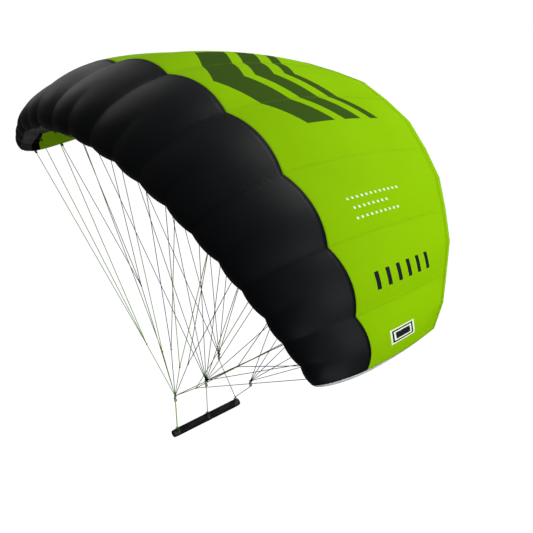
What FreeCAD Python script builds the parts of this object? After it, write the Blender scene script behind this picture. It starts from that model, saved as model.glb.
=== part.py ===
import FreeCAD, Part
import math
import os
import Sketcher
from collections import namedtuple

# Foil kite: a ram-air canopy of sewn cells, its bridle, and a control bar that hangs on leader lines.
# X runs from the leading edge to the trailing edge, Y to the right wing tip, Z up, in millimetres.
# The origin is the canopy's centre of lift, on the chord line of the middle rib.

Vector = FreeCAD.Vector
ACROSS = Vector(0, 1, 0)

dimensions = [
    # the arc of the canopy, seen from the front: a stretch of an ellipse
    ("arc_half_width", 1417, "horizontal half axis of the arc"),
    ("arc_height", 1207, "vertical half axis of the arc"),
    ("tip_angle", 63.5, "degrees from the middle of the arc to a wing tip"),
    ("cell_count", 9, "cells between line-carrying ribs"),
    ("cell_taper", 0.174, "how much the cells narrow towards the tips"),
    # the plan of the canopy
    ("root_chord", 1680, "chord at the middle"),
    ("tip_chord", 807, "chord at the tips"),
    ("chord_fullness", 2.05, "power of the chord's fall towards the tips"),
    ("tip_sweep", 163, "how far the tips' leading edge lies behind the middle's"),
    ("sweep_power", 2.2, "power of the sweep"),
    ("pitch", 8.5, "degrees nose-up"),
    ("lift_place", 0.33, "centre of lift, as a share of the chord"),
    # the rib profile, in shares of the chord
    ("root_depth", 0.193, "depth of the profile at the middle"),
    ("tip_depth", 0.205, "depth of the profile at the tips"),
    ("camber", 0.045, "camber"),
    ("camber_place", 0.35, "place of most camber"),
    ("hem_depth", 2.0, "depth of the trailing edge"),
    ("middle_bulge", 13, "how far a middle rib stands out from the arc"),
    ("middle_swell", 1.08, "depth of a middle rib over its neighbours'"),
    # seams along the profile, as places on the chord
    ("panel_seam", 0.28, "seam between leading edge panel and top panel"),
    ("lip_place", 0.01, "front edge of the intake mesh"),
    ("intake_place", 0.07, "rear edge of the intake mesh"),
    ("mesh_space", 0.002, "space between the mesh and the panel ahead of it, as a share of the profile"),
    ("hem_place", 0.985, "front edge of the trailing edge tape"),
    # cloth
    ("skin_cloth", 1.5, "thickness of a skin panel"),
    ("rib_cloth", 1.2, "thickness of a rib"),
    ("rib_gap", 0.4, "space between a rib's edge and the skin"),
    ("vent_share", 0.5, "height of a cross vent over the rib's depth"),
    ("vent_stretch", 1.5, "length of a cross vent over its height"),
    ("front_vent", 0.22, "front cross vent, as a place on the chord"),
    ("middle_vent", 0.42, "middle cross vent"),
    ("rear_vent", 0.62, "rear cross vent"),
    # loops that carry the bridle
    ("tab_long", 14, "length of a bridle loop along the chord"),
    ("tab_thick", 2.4, "thickness of a bridle loop"),
    ("tab_drop", 16, "how far a bridle loop stands below the canopy"),
    ("front_row", 0.10, "front row of loops"),
    ("second_row", 0.32, "second row of loops"),
    ("third_row", 0.57, "third row of loops"),
    ("rear_row", 0.82, "rear row of loops"),
    # bridle
    ("bridle_thick", 4.0, "diameter of a bridle line"),
    ("knot_size", 26, "diameter of a knot"),
    ("front_knot_size", 32, "diameter of the knot that gathers the main lines"),
    ("fan_knot_size", 40, "diameter of the knot that gathers the third row"),
    ("rear_knot_size", 28, "diameter of the knots that gather the rear row"),
    ("front_inner_back", 254, "front row, inner knot"),
    ("front_inner_out", 81, "front row, inner knot"),
    ("front_inner_drop", 279, "front row, inner knot"),
    ("front_outer_back", 250, "front row, outer knot"),
    ("front_outer_out", 233, "front row, outer knot"),
    ("front_outer_drop", 325, "front row, outer knot"),
    ("second_inner_back", 313, "second row, inner knot"),
    ("second_inner_out", 79, "second row, inner knot"),
    ("second_inner_drop", 294, "second row, inner knot"),
    ("second_outer_back", 380, "second row, outer knot"),
    ("second_outer_out", 440, "second row, outer knot"),
    ("second_outer_drop", 90, "second row, outer knot"),
    ("outer_seams", 3, "seams of each half wing that hang on the outer knots"),
    # link rings and leader lines
    ("front_pivot_back", 265, "front link, behind the leading edge"),
    ("front_pivot_drop", 615, "front link, below the middle of the arc"),
    ("link_slope", 6, "degrees that the row of links and the bar fall towards the rear"),
    ("middle_link_gap", 227, "from the front link to the middle link"),
    ("rear_link_gap", 443, "from the front link to the rear links"),
    ("rear_link_out", 150, "rear links, each side of the middle"),
    ("leader_drop", 227, "from a bridle link down to its eye on the bar"),
    ("link_mean", 22, "mean diameter of a bridle ring or bar eye"),
    ("link_wire", 5, "wire of a bridle ring or bar eye"),
    ("loop_mean", 16, "mean diameter of a leader loop"),
    ("loop_wire", 4, "wire of a leader loop"),
    ("joint_sink", 1.5, "how far a knot or line is let into a ring"),
    ("front_leader_thick", 6, "diameter of the front leader"),
    ("rear_leader_thick", 4, "diameter of the other leaders"),
    ("leader_knot_size", 11, "diameter of the knot where the rear leaders meet"),
    # bar
    ("bar_over", 27, "how far the bar runs past its end eyes"),
    ("eye_clear", 0.5, "space between an eye's foot and the bar tube"),
    ("grip_outer", 47, "diameter of the foam grip"),
    ("tube_outer", 25, "outer diameter of the bar tube"),
    ("tube_inner", 21, "inner diameter of the bar tube"),
    ("tube_gap", 0.1, "space round the tube in its grip and caps"),
    ("cap_outer", 47, "diameter of an end cap"),
    ("cap_long", 40, "length of an end cap"),
    ("nose_outer", 44, "diameter of a cap's nose"),
    ("nose_long", 18, "length of a cap's nose"),
    ("cap_floor", 14, "solid end of a cap beyond the tube"),
    ("cap_round", 4, "rounding of a cap's outer edge"),
    ("collar_long", 16, "width of the middle collar"),
    ("collar_wall", 1.2, "thickness of the middle collar"),
]

doc = FreeCAD.newDocument("FoilKite")
sheet = doc.addObject("Spreadsheet::Sheet", "Dimensions")
for row, (alias, value, meaning) in enumerate(dimensions, start=1):
    sheet.set(f"A{row}", meaning)
    sheet.set(f"B{row}", str(value))
    sheet.setAlias(f"B{row}", alias)
doc.recompute()
parts = []


def size(alias):
    return float(sheet.get(alias))


def add(kind, label):
    piece = doc.addObject(kind, label)
    piece.Label = label
    return piece


def keep(piece):
    parts.append(piece)
    return piece


def bind(piece, **cells):
    for prop, formula in cells.items():
        piece.setExpression(prop, formula)


# ---- shape of the canopy ----

CELLS = int(size("cell_count"))
# how many spans the curve of each panel's edge, and of a rib's edge, is drawn with
LEADING_SPANS = 10
TOP_SPANS = 7
BOTTOM_SPANS = 9
MESH_SPANS = 3
RIB_SPANS = 28
TURN_STEP = 0.001
LIFT_X = size("lift_place") * size("root_chord") * math.cos(math.radians(size("pitch")))
LIFT_Z = size("lift_place") * size("root_chord") * math.sin(math.radians(size("pitch")))
ORIGIN = Vector(LIFT_X, 0, size("arc_height") * (1 + size("middle_bulge") / size("arc_half_width")) - LIFT_Z)

Station = namedtuple("Station", "edge chord along outward span depth")


# Where a rib stands. Seams are numbered from 0 at the left tip, and a middle rib is at a half.
def station(number):
    middle = number != int(number)
    place = 2 * number / CELLS - 1
    taper = size("cell_taper")
    share = place * (1 + taper) - taper * place ** 3
    angle = math.radians(size("tip_angle") * share)
    reach = 1 + (size("middle_bulge") / size("arc_half_width") if middle else 0)
    width = size("arc_half_width")
    height = size("arc_height")
    sweep = size("tip_sweep") * abs(share) ** size("sweep_power")
    fall = abs(share) ** size("chord_fullness")
    chord = size("root_chord") - (size("root_chord") - size("tip_chord")) * fall
    edge = Vector(sweep, width * reach * math.sin(angle), height * reach * math.cos(angle)) - ORIGIN
    pitch = math.radians(size("pitch"))
    along = Vector(math.cos(pitch), 0, -math.sin(pitch))
    outward = Vector(0, height * math.sin(angle), width * math.cos(angle)).normalize()
    outward = (outward - along * outward.dot(along)).normalize()
    depth = size("root_depth") - (size("root_depth") - size("tip_depth")) * share * share
    if middle:
        depth *= size("middle_swell")
    return Station(edge, chord, along, outward, outward.cross(along), depth)


# Height of the profile over its chord, at the place turn * turn: turn runs from -1 at the lower
# trailing edge through 0 at the nose to 1 at the upper trailing edge.
def profile(rib, turn):
    x = turn * turn
    root = abs(turn)
    half = 5 * rib.depth * (0.2969 * root - 0.1260 * x - 0.3516 * x ** 2 + 0.2843 * x ** 3 - 0.1036 * x ** 4)
    half += size("hem_depth") / 2 / rib.chord * x
    peak = size("camber_place")
    reach = peak if x < peak else 1 - peak
    bow = size("camber") * (1 - ((x - peak) / reach) ** 2)
    return x * rib.chord, (bow + math.copysign(half, turn)) * rib.chord


# A point on the rib's outline, moved inward by inset.
def outline(rib, turn, inset=0.0):
    x, rise = profile(rib, turn)
    ahead_x, ahead_rise = profile(rib, turn + TURN_STEP)
    back_x, back_rise = profile(rib, turn - TURN_STEP)
    run = math.hypot(ahead_x - back_x, ahead_rise - back_rise)
    x += inset * (ahead_rise - back_rise) / run
    rise -= inset * (ahead_x - back_x) / run
    return rib.edge + rib.along * x + rib.outward * rise


def turns(first, last, count):
    return [first + (last - first) * step / count for step in range(count + 1)]


def curve(points):
    spline = Part.BSplineCurve()
    spline.interpolate(points)
    return spline.toShape()


# The cut edge of a skin panel at one rib: a strip as thick as the cloth.
def strip(rib, first, last, count):
    outer = [outline(rib, turn) for turn in turns(first, last, count)]
    inner = [outline(rib, turn, size("skin_cloth")) for turn in turns(last, first, count)]
    ends = [Part.makeLine(outer[-1], inner[0]), Part.makeLine(inner[-1], outer[0])]
    return Part.Wire([curve(outer), ends[0], curve(inner), ends[1]])


def hem(rib):
    place = math.sqrt(size("hem_place"))
    corners = [outline(rib, place), outline(rib, 1), outline(rib, -1), outline(rib, -place)]
    return Part.makePolygon(corners + corners[:1])


def cell_ribs(cell):
    return [station(cell - 1), station(cell - 0.5), station(cell)]


def cloth(sections):
    return Part.makeLoft(sections, True, False)


def panel(ribs, first, last, spans):
    return cloth([strip(rib, first, last, spans) for rib in ribs])


def feature(label, shape):
    piece = add("Part::Feature", label)
    piece.Shape = shape
    piece.Placement = FreeCAD.Placement()
    return piece


def skin_panels():
    seam = math.sqrt(size("panel_seam"))
    lip = -math.sqrt(size("lip_place"))
    intake = -math.sqrt(size("intake_place"))
    hem_turn = math.sqrt(size("hem_place"))
    meshes = []
    hems = []
    for cell in range(1, CELLS + 1):
        ribs = cell_ribs(cell)
        keep(feature(f"leading_edge_panel_{cell}", panel(ribs, seam, lip, LEADING_SPANS)))
        keep(feature(f"top_panel_{cell}", panel(ribs, hem_turn, seam, TOP_SPANS)))
        keep(feature(f"bottom_panel_{cell}", panel(ribs, intake, -hem_turn, BOTTOM_SPANS)))
        meshes.append(feature(f"mesh_{cell}", panel(ribs, lip - size("mesh_space"), intake, MESH_SPANS)))
        hems.append(feature(f"hem_{cell}", cloth([hem(rib) for rib in ribs])))
    group("intake_mesh", meshes)
    group("trailing_edge_tape", hems)


def group(label, members):
    together = keep(add("Part::Compound", label))
    together.Links = members
    return together


# An oval cross vent that lets air through from cell to cell.
def vent(rib, place):
    top = outline(rib, math.sqrt(place))
    bottom = outline(rib, -math.sqrt(place))
    middle = (top + bottom) * 0.5
    high = (top - bottom).Length / 2 * size("vent_share")
    long_end = middle + rib.along * high * size("vent_stretch")
    oval = Part.Ellipse(long_end, middle + rib.outward * high, middle)
    return Part.Wire([oval.toShape()])


def rib_face(rib, vents):
    inset = size("skin_cloth") + size("rib_gap")
    end = math.sqrt(size("hem_place"))
    points = [outline(rib, turn, inset) for turn in turns(-end, end, RIB_SPANS)]
    edge = Part.Wire([curve(points), Part.makeLine(points[-1], points[0])])
    return Part.Face([edge] + [vent(rib, place) for place in vents])


def rib_plate(label, number, vents):
    rib = station(number)
    face = feature(label + "_pattern", rib_face(rib, vents))
    plate = add("Part::Extrusion", label)
    plate.Base = face
    plate.DirMode = "Custom"
    plate.Dir = rib.span
    plate.Symmetric = True
    plate.Solid = True
    bind(plate, LengthFwd="Dimensions.rib_cloth")
    return plate


def ribs():
    vents = (size("front_vent"), size("middle_vent"), size("rear_vent"))
    keep(rib_plate("left_tip_rib", 0, ()))
    for number in range(1, CELLS):
        keep(rib_plate(f"rib_{number}", number, vents))
    keep(rib_plate("right_tip_rib", CELLS, ()))
    middles = [rib_plate(f"middle_rib_{cell}", cell - 0.5, vents) for cell in range(1, CELLS + 1)]
    group("middle_ribs", middles)


# ---- bridle ----

Knot = namedtuple("Knot", "centre radius")


def frame_turn(first, second, third):
    return FreeCAD.Rotation(first, second, third, "ZXY")


# The sewn loop under a rib, and the point at its lower end where the line starts.
def bridle_loop(number, row):
    rib = station(number)
    root = outline(rib, -math.sqrt(size(row)), -size("rib_gap"))
    drop = rib.outward * -1
    loop = add("Part::Box", f"loop_{row}_{number}")
    bind(loop, Length="Dimensions.tab_long", Width="Dimensions.tab_thick", Height="Dimensions.tab_drop")
    side = drop.cross(rib.along)
    corner = root - rib.along * (size("tab_long") / 2) - side * (size("tab_thick") / 2)
    loop.Placement = FreeCAD.Placement(corner, frame_turn(rib.along, side, drop))
    return loop, root + drop * (size("tab_drop") + size("rib_gap"))


def line(label, start, end, thickness):
    run = end - start
    cord = add("Part::Cylinder", label)
    bind(cord, Radius=f"Dimensions.{thickness} / 2")
    cord.Height = run.Length
    cord.Placement = FreeCAD.Placement(start, FreeCAD.Rotation(Vector(0, 0, 1), run))
    return cord


# A line from a loop or a knot down to another knot, ending on the knots' surfaces.
def line_to_knot(label, start, knot, thickness="bridle_thick", start_radius=0.0):
    run = (knot.centre - start).normalize()
    return line(label, start + run * start_radius, knot.centre - run * knot.radius, thickness)


def knot_ball(label, knot, alias):
    ball = add("Part::Sphere", label)
    bind(ball, Radius=f"Dimensions.{alias} / 2")
    ball.Placement = FreeCAD.Placement(knot.centre, FreeCAD.Rotation())
    return ball


def below_arc(back, out, drop):
    return Vector(back, out, -drop) - ORIGIN


SLOPE = math.radians(size("link_slope"))
BAR_WAY = Vector(math.cos(SLOPE), 0, -math.sin(SLOPE))
LEADER_WAY = Vector(0, 0, -size("leader_drop"))
FRONT_LINK = below_arc(size("front_pivot_back"), 0, size("front_pivot_drop"))
MIDDLE_LINK = FRONT_LINK + BAR_WAY * size("middle_link_gap")
REAR_LINK = FRONT_LINK + BAR_WAY * size("rear_link_gap")


def above_link(link, out, alias):
    rise = size("link_mean") + size("link_wire") / 2 + size(alias) / 2 - size("joint_sink")
    return Knot(link + Vector(0, out, rise), size(alias) / 2)


def sub_knot(name, side):
    place = below_arc(size(name + "_back"), side * size(name + "_out"), size(name + "_drop"))
    return Knot(place, size("knot_size") / 2)


# Each half wing has seams 0 to 4 on the left and their mirror images on the right.
def bridle():
    front_knot = above_link(FRONT_LINK, 0, "front_knot_size")
    third_knot = above_link(MIDDLE_LINK, 0, "fan_knot_size")
    balls = [knot_ball("front_knot", front_knot, "front_knot_size"),
             knot_ball("third_row_knot", third_knot, "fan_knot_size")]
    loops = []
    rows = {"front_row": [], "second_row": [], "third_row": [], "rear_row": []}
    mains = {"front_row": [], "second_row": []}
    for side, wing in ((-1, "left"), (1, "right")):
        rear_knot = above_link(REAR_LINK, side * size("rear_link_out"), "rear_knot_size")
        balls.append(knot_ball(f"rear_row_knot_{wing}", rear_knot, "rear_knot_size"))
        gather = {}
        for row, name in (("front_row", "front"), ("second_row", "second")):
            for ring in ("inner", "outer"):
                knot = sub_knot(f"{name}_{ring}", side)
                gather[row, ring] = knot
                balls.append(knot_ball(f"{name}_{ring}_knot_{wing}", knot, "knot_size"))
                label = f"{name}_{ring}_main_{wing}"
                mains[row].append(line_to_knot(label, knot.centre, front_knot, start_radius=knot.radius))
        for step in range(CELLS // 2 + 1):
            number = step if side < 0 else CELLS - step
            ring = "outer" if step < size("outer_seams") else "inner"
            ends = {"front_row": gather["front_row", ring], "second_row": gather["second_row", ring],
                    "third_row": third_knot, "rear_row": rear_knot}
            for row, knot in ends.items():
                loop, start = bridle_loop(number, row)
                loops.append(loop)
                rows[row].append(line_to_knot(f"{row}_line_{number}", start, knot))
    group("bridle_loops", loops)
    for row, lines in rows.items():
        group(f"{row}_lines", lines)
    group("front_main_lines", mains["front_row"])
    group("second_main_lines", mains["second_row"])
    group("bridle_knots", balls)


# ---- link rings, leader lines and bar ----

def ring(label, centre, axis, mean, wire):
    torus = add("Part::Torus", label)
    bind(torus, Radius1=f"Dimensions.{mean} / 2", Radius2=f"Dimensions.{wire} / 2")
    torus.Placement = FreeCAD.Placement(centre, FreeCAD.Rotation(Vector(0, 0, 1), axis))
    return torus


# A bridle ring's wire passes through the link point, and the leader's loop turns about that point.
def bridle_rings():
    links = [("front", FRONT_LINK), ("middle", MIDDLE_LINK)]
    links += [(f"rear_{wing}", REAR_LINK + ACROSS * (side * size("rear_link_out")))
              for side, wing in ((-1, "left"), (1, "right"))]
    rise = Vector(0, 0, size("link_mean") / 2)
    group("bridle_rings", [ring(f"{name}_ring", link + rise, Vector(1, 0, 0), "link_mean", "link_wire")
                           for name, link in links])


def leader_loop(label, centre):
    return ring(label, centre, ACROSS, "loop_mean", "loop_wire")


def straight_leader(name, link, thickness):
    eye = link + LEADER_WAY
    reach = size("loop_mean") / 2 + size("loop_wire") / 2 - size("joint_sink")
    way = Vector(LEADER_WAY).normalize()
    keep(line(f"{name}_leader", link + way * reach, eye - way * reach, thickness))
    loops = [leader_loop(f"{name}_upper_loop", link), leader_loop(f"{name}_lower_loop", eye)]
    group(f"{name}_leader_loops", loops)


def rear_leaders():
    eye = REAR_LINK + LEADER_WAY
    reach = size("loop_mean") / 2 + size("loop_wire") / 2 - size("joint_sink")
    meet = Knot(eye + Vector(0, 0, reach + size("leader_knot_size") / 2), size("leader_knot_size") / 2)
    lines = []
    loops = [leader_loop("rear_lower_loop", eye)]
    for side, wing in ((-1, "left"), (1, "right")):
        link = REAR_LINK + ACROSS * (side * size("rear_link_out"))
        loops.append(leader_loop(f"rear_upper_loop_{wing}", link))
        start = link - Vector(0, 0, reach)
        lines.append(line_to_knot(f"rear_leader_{wing}", start, meet, "rear_leader_thick"))
    group("rear_leaders", lines + [knot_ball("rear_leader_knot", meet, "leader_knot_size")])
    group("rear_leader_loops", loops)


SAME_PLACE = 0.01
BAR_UP = BAR_WAY.cross(ACROSS)
BAR_LONG = size("rear_link_gap") + 2 * size("bar_over")
EYE_FOOT = (size("grip_outer") - size("tube_outer")) / 2 - size("eye_clear")
EYE_RISE = size("link_mean") + size("link_wire") / 2 - EYE_FOOT
EYES = [link + LEADER_WAY for link in (FRONT_LINK, MIDDLE_LINK, REAR_LINK)]
BAR_FRONT = EYES[0] - BAR_UP * (EYE_RISE + size("grip_outer") / 2) - BAR_WAY * size("bar_over")


def place_on_bar(piece, distance, reverse=False):
    way = BAR_WAY * -1 if reverse else BAR_WAY
    turn = frame_turn(ACROSS.cross(way), ACROSS, way)
    piece.Placement = FreeCAD.Placement(BAR_FRONT + BAR_WAY * distance, turn)
    return piece


# Circles about a body's own Z axis, on a plane at the height that a formula gives.
def circles_at(body, name, diameters, height="0"):
    sketch = body.newObject("Sketcher::SketchObject", f"{body.Label}_{name}")
    plane = next(plane for plane in body.Origin.OriginFeatures if plane.Role == "XY_Plane")
    sketch.AttachmentSupport = [(plane, "")]
    sketch.MapMode = "FlatFace"
    sketch.setExpression("AttachmentOffset.Base.z", height)
    for index, formula in enumerate(diameters):
        first_radius = 10 + index
        sketch.addGeometry(Part.Circle(Vector(), Vector(0, 0, 1), first_radius), False)
        sketch.addConstraint(Sketcher.Constraint("Coincident", index, 3, -1, 1))
        width = sketch.addConstraint(Sketcher.Constraint("Diameter", index, 2 * first_radius))
        sketch.renameConstraint(width, f"width_{index}")
        sketch.setExpression(f"Constraints.width_{index}", formula)
    return sketch


def sketched(kind, body, sketch, length):
    step = body.newObject(kind, sketch.Label.replace("outline", "step"))
    step.Profile = sketch
    bind(step, Length=length)
    doc.recompute()


# A hollow or solid round piece along its own Z axis.
def round_piece(label, diameters, length):
    body = add("PartDesign::Body", label)
    sketched("PartDesign::Pad", body, circles_at(body, "outline", diameters), length)
    return body


def rim(shape, radius, height):
    for index, edge in enumerate(shape.Edges, start=1):
        circle = edge.Curve
        if isinstance(circle, Part.Circle) and abs(circle.Radius - radius) < SAME_PLACE:
            if abs(circle.Center.z - height) < SAME_PLACE:
                return f"Edge{index}"


def round_rims(body, heights, radius, formula):
    padded = body.Tip
    rounding = body.newObject("PartDesign::Fillet", body.Label + "_rounding")
    rounding.Base = (padded, [rim(padded.Shape, radius, height) for height in heights])
    bind(rounding, Radius=formula)
    doc.recompute()


# A cap's closed end is at its own origin: a round nose, then a wider sleeve that takes the tube.
def end_cap(label):
    cap = round_piece(label, ["Dimensions.nose_outer"], "Dimensions.cap_long")
    round_rims(cap, [0], size("nose_outer") / 2, "Dimensions.cap_round")
    sleeve = circles_at(cap, "sleeve_outline", ["Dimensions.cap_outer"], "Dimensions.nose_long")
    sketched("PartDesign::Pad", cap, sleeve, "Dimensions.cap_long - Dimensions.nose_long")
    bore = "Dimensions.tube_outer + 2 * Dimensions.tube_gap"
    socket = circles_at(cap, "socket_outline", [bore], "Dimensions.cap_long")
    sketched("PartDesign::Pocket", cap, socket, "Dimensions.cap_long - Dimensions.cap_floor")
    return cap


def bar():
    long = "(Dimensions.rear_link_gap + 2 * Dimensions.bar_over)"
    tube = round_piece("bar_tube", ["Dimensions.tube_outer", "Dimensions.tube_inner"],
                       long + " - 2 * Dimensions.cap_floor")
    keep(place_on_bar(tube, size("cap_floor")))
    bore = "Dimensions.tube_outer + 2 * Dimensions.tube_gap"
    grip = round_piece("bar_grip", ["Dimensions.grip_outer", bore], long + " - 2 * Dimensions.cap_long")
    keep(place_on_bar(grip, size("cap_long")))
    caps = [place_on_bar(end_cap("front_cap"), 0), place_on_bar(end_cap("rear_cap"), BAR_LONG, reverse=True)]
    group("bar_end_caps", caps)
    widths = ["Dimensions.grip_outer + 2 * Dimensions.collar_wall",
              "Dimensions.grip_outer + 2 * Dimensions.tube_gap"]
    collar = round_piece("bar_collar", widths, "Dimensions.collar_long")
    middle = size("bar_over") + size("middle_link_gap") - size("collar_long") / 2
    keep(place_on_bar(collar, middle))
    drop = BAR_UP * (size("link_mean") / 2)
    group("bar_eyes", [ring(f"bar_eye_{index}", eye - drop, BAR_WAY, "link_mean", "link_wire")
                       for index, eye in enumerate(EYES)])


skin_panels()
ribs()
bridle()
bridle_rings()
straight_leader("front", FRONT_LINK, "front_leader_thick")
straight_leader("middle", MIDDLE_LINK, "rear_leader_thick")
rear_leaders()
bar()
doc.recompute()

faults = [item.Label for item in doc.Objects if {"Invalid", "Error"} & set(item.State)]
faults += [part.Label for part in parts if part.Shape.isNull() or not part.Shape.isValid()]
if faults:
    raise RuntimeError("faulty objects: " + ", ".join(faults))
os.makedirs("parts", exist_ok=True)
for part in parts:
    part.Shape.exportStep(f"parts/{part.Label}.step")
    print(part.Label, len(part.Shape.Solids), round(part.Shape.Volume))
print("nodes", len(parts))
for name, point in (("origin", ORIGIN), ("front_link", FRONT_LINK), ("middle_link", MIDDLE_LINK),
                    ("rear_link", REAR_LINK), ("front_eye", EYES[0]), ("bar_front", BAR_FRONT),
                    ("bar_way", BAR_WAY)):
    print(name, [round(value, 4) for value in point])
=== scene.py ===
import bmesh
import bpy
import math
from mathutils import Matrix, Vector


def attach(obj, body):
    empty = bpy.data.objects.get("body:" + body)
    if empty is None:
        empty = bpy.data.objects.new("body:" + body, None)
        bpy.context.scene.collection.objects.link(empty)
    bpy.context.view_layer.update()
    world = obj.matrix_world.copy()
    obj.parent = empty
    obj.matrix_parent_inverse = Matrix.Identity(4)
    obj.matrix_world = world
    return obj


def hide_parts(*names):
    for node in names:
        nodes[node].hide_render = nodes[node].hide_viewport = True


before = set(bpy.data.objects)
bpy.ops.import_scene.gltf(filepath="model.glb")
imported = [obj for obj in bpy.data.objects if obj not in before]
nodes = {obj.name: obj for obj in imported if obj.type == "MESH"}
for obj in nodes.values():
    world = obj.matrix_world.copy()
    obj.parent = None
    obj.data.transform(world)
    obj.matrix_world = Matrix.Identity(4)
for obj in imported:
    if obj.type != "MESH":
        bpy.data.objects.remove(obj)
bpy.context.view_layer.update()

# Foil kite: ballooned ripstop canopy, bridle, leader lines and a foam-covered bar.
# X runs from the leading edge to the trailing edge, Y to the right wing tip, Z up, in metres.

across = Vector((0, 1, 0))


def addObject(name, data):
    made = bpy.data.objects.new(name, data)
    bpy.context.scene.collection.objects.link(made)
    return made


def plug(tree, value, socket):
    if isinstance(value, bpy.types.NodeSocket):
        tree.links.new(value, socket)
    else:
        socket.default_value = value


# A node with its settings; each input, by name or number, is a value or another node's output.
def newNode(tree, kind, inputs=None, **settings):
    node = tree.nodes.new(kind)
    for name, value in settings.items():
        setattr(node, name, value)
    for socket, value in (inputs or {}).items():
        plug(tree, value, node.inputs[socket])
    return node


def calc(tree, operation, *values):
    return newNode(tree, "ShaderNodeMath", dict(enumerate(values)), operation=operation).outputs[0]


def mixColour(tree, factor, first, second):
    return newNode(tree, "ShaderNodeMix", {0: factor, 6: first, 7: second}, data_type="RGBA").outputs[2]


# A shade with some of another colour over it, where a mask says so.
def tint(tree, shade, colour, mask, amount):
    return mixColour(tree, calc(tree, "MULTIPLY", mask, amount), shade, colour)


def scaled(colour, factor, extra=0.0):
    return (*(min(1, channel * factor + extra) for channel in colour[:3]), 1)


def noise(tree, vector, scale, detail):
    inputs = {"Vector": vector, "Scale": scale, "Detail": detail}
    return newNode(tree, "ShaderNodeTexNoise", inputs).outputs[0]


# Nought below one value and one above another, with a soft step between them.
def ramp(tree, value, low, high):
    node = newNode(tree, "ShaderNodeMapRange", {0: value, 1: low, 2: high}, interpolation_type="SMOOTHSTEP")
    return node.outputs[0]


def splitVector(tree, vector):
    return newNode(tree, "ShaderNodeSeparateXYZ", {0: vector}).outputs


# How far a value stands from the middle of its repeat, as a share of the pitch.
def offMiddle(tree, value, pitch=1.0):
    share = calc(tree, "FRACT", calc(tree, "DIVIDE", value, pitch))
    return calc(tree, "ABSOLUTE", calc(tree, "SUBTRACT", share, 0.5))


def objectPlace(tree):
    return newNode(tree, "ShaderNodeTexCoord").outputs["Object"]


def clothMap(tree, name):
    return newNode(tree, "ShaderNodeUVMap", uv_map=name).outputs[0]


def newMaterial(name, roughness, **fixed):
    material = bpy.data.materials.new(name)
    material.use_nodes = True
    tree = material.node_tree
    shader = tree.nodes["Principled BSDF"]
    shader.inputs["Roughness"].default_value = roughness
    for socket, value in fixed.items():
        shader.inputs[socket.replace("_", " ")].default_value = value
    return material, tree, shader


def paint(tree, shader, shade):
    plug(tree, shade, shader.inputs["Base Color"])


def bump(tree, shader, height, distance, strength=1.0, under=None):
    node = newNode(tree, "ShaderNodeBump", {"Height": height, "Distance": distance, "Strength": strength})
    if under is not None:
        plug(tree, under, node.inputs["Normal"])
    plug(tree, node.outputs[0], shader.inputs["Normal"])


studio = {
    "cameraAt": (-3.071, -4.111, 3.297),
    "cameraTurn": (50.69, 0, -40.24),   # degrees
    "lens": 81.8,
    "floorHeight": -9.0,
    "floorHalf": 60,
    "floorColour": (0.30, 0.30, 0.30, 1),
    "floorGlow": 0.92,     # what the camera sees of the floor
    "lowLight": 0.16,      # light from below
    "highLight": 0.31,     # light from straight above
    "fadeFrom": -0.5,      # height, from -1 to 1, where the low light starts to grow
    # Each lamp: where it stands, where it points, how wide it is and its power in watts.
    "lamps": {
        "overheadBox": ((5.0, 0.0, 4.0), (0.3, 0, 0), 4, 295),
        "tipSideBox": ((2.6, -6.2, 2.2), (0.4, -0.9, -0.2), 4, 200),
        "farSideBox": ((2.0, 8.0, 0.6), (0, 0.8, 0), 4, 85),
        "lowSideBox": ((-1.0, -6.5, -2.6), (0, 0.6, -0.6), 2.5, 110),
    },
}


def makeCamera():
    data = bpy.data.cameras.new("camera")
    data.lens = studio["lens"]
    data.sensor_width = 36
    data.clip_end = 200
    camera = addObject("camera", data)
    camera.location = studio["cameraAt"]
    camera.rotation_euler = [math.radians(turn) for turn in studio["cameraTurn"]]
    bpy.context.scene.camera = camera


def cameraRay(tree):
    return newNode(tree, "ShaderNodeLightPath").outputs["Is Camera Ray"]


def makeFloor():
    half = studio["floorHalf"]
    height = studio["floorHeight"]
    corners = [(-half, -half, height), (half, -half, height), (half, half, height), (-half, half, height)]
    mesh = bpy.data.meshes.new("floor")
    mesh.from_pydata(corners, [], [(0, 1, 2, 3)])
    material, tree, shader = newMaterial("floorPaint", 0.9, Base_Color=studio["floorColour"],
                                         Specular_IOR_Level=0.1, Emission_Color=(1, 1, 1, 1))
    glow = calc(tree, "MULTIPLY", cameraRay(tree), studio["floorGlow"])
    plug(tree, glow, shader.inputs["Emission Strength"])
    mesh.materials.append(material)
    addObject("floor", mesh)


def makeLight(name, spot, aim, side, power):
    data = bpy.data.lights.new(name, "AREA")
    data.shape = "RECTANGLE"
    data.size = side
    data.size_y = side
    data.energy = power
    lamp = addObject(name, data)
    lamp.location = spot
    lamp.rotation_euler = (Vector(aim) - Vector(spot)).to_track_quat("-Z", "Y").to_euler()


# The air is white to the camera, and lights the object more from above than from below.
def makeAir():
    world = bpy.data.worlds.new("studioAir")
    world.use_nodes = True
    tree = world.node_tree
    way = newNode(tree, "ShaderNodeTexCoord").outputs["Generated"]
    fade = newNode(tree, "ShaderNodeMapRange", {
        "Value": splitVector(tree, way)[2], "From Min": studio["fadeFrom"], "To Min": studio["lowLight"],
        "To Max": studio["highLight"]})
    air = tree.nodes["Background"]
    plug(tree, (1, 1, 1, 1), air.inputs["Color"])
    plug(tree, calc(tree, "MAXIMUM", fade.outputs[0], cameraRay(tree)), air.inputs["Strength"])
    bpy.context.scene.world = world


makeCamera()
makeFloor()
makeAir()
bpy.context.scene.view_settings.view_transform = "Standard"
for lampName, lamp in studio["lamps"].items():
    makeLight(lampName, *lamp)
print("camera, floor and light made")


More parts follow.
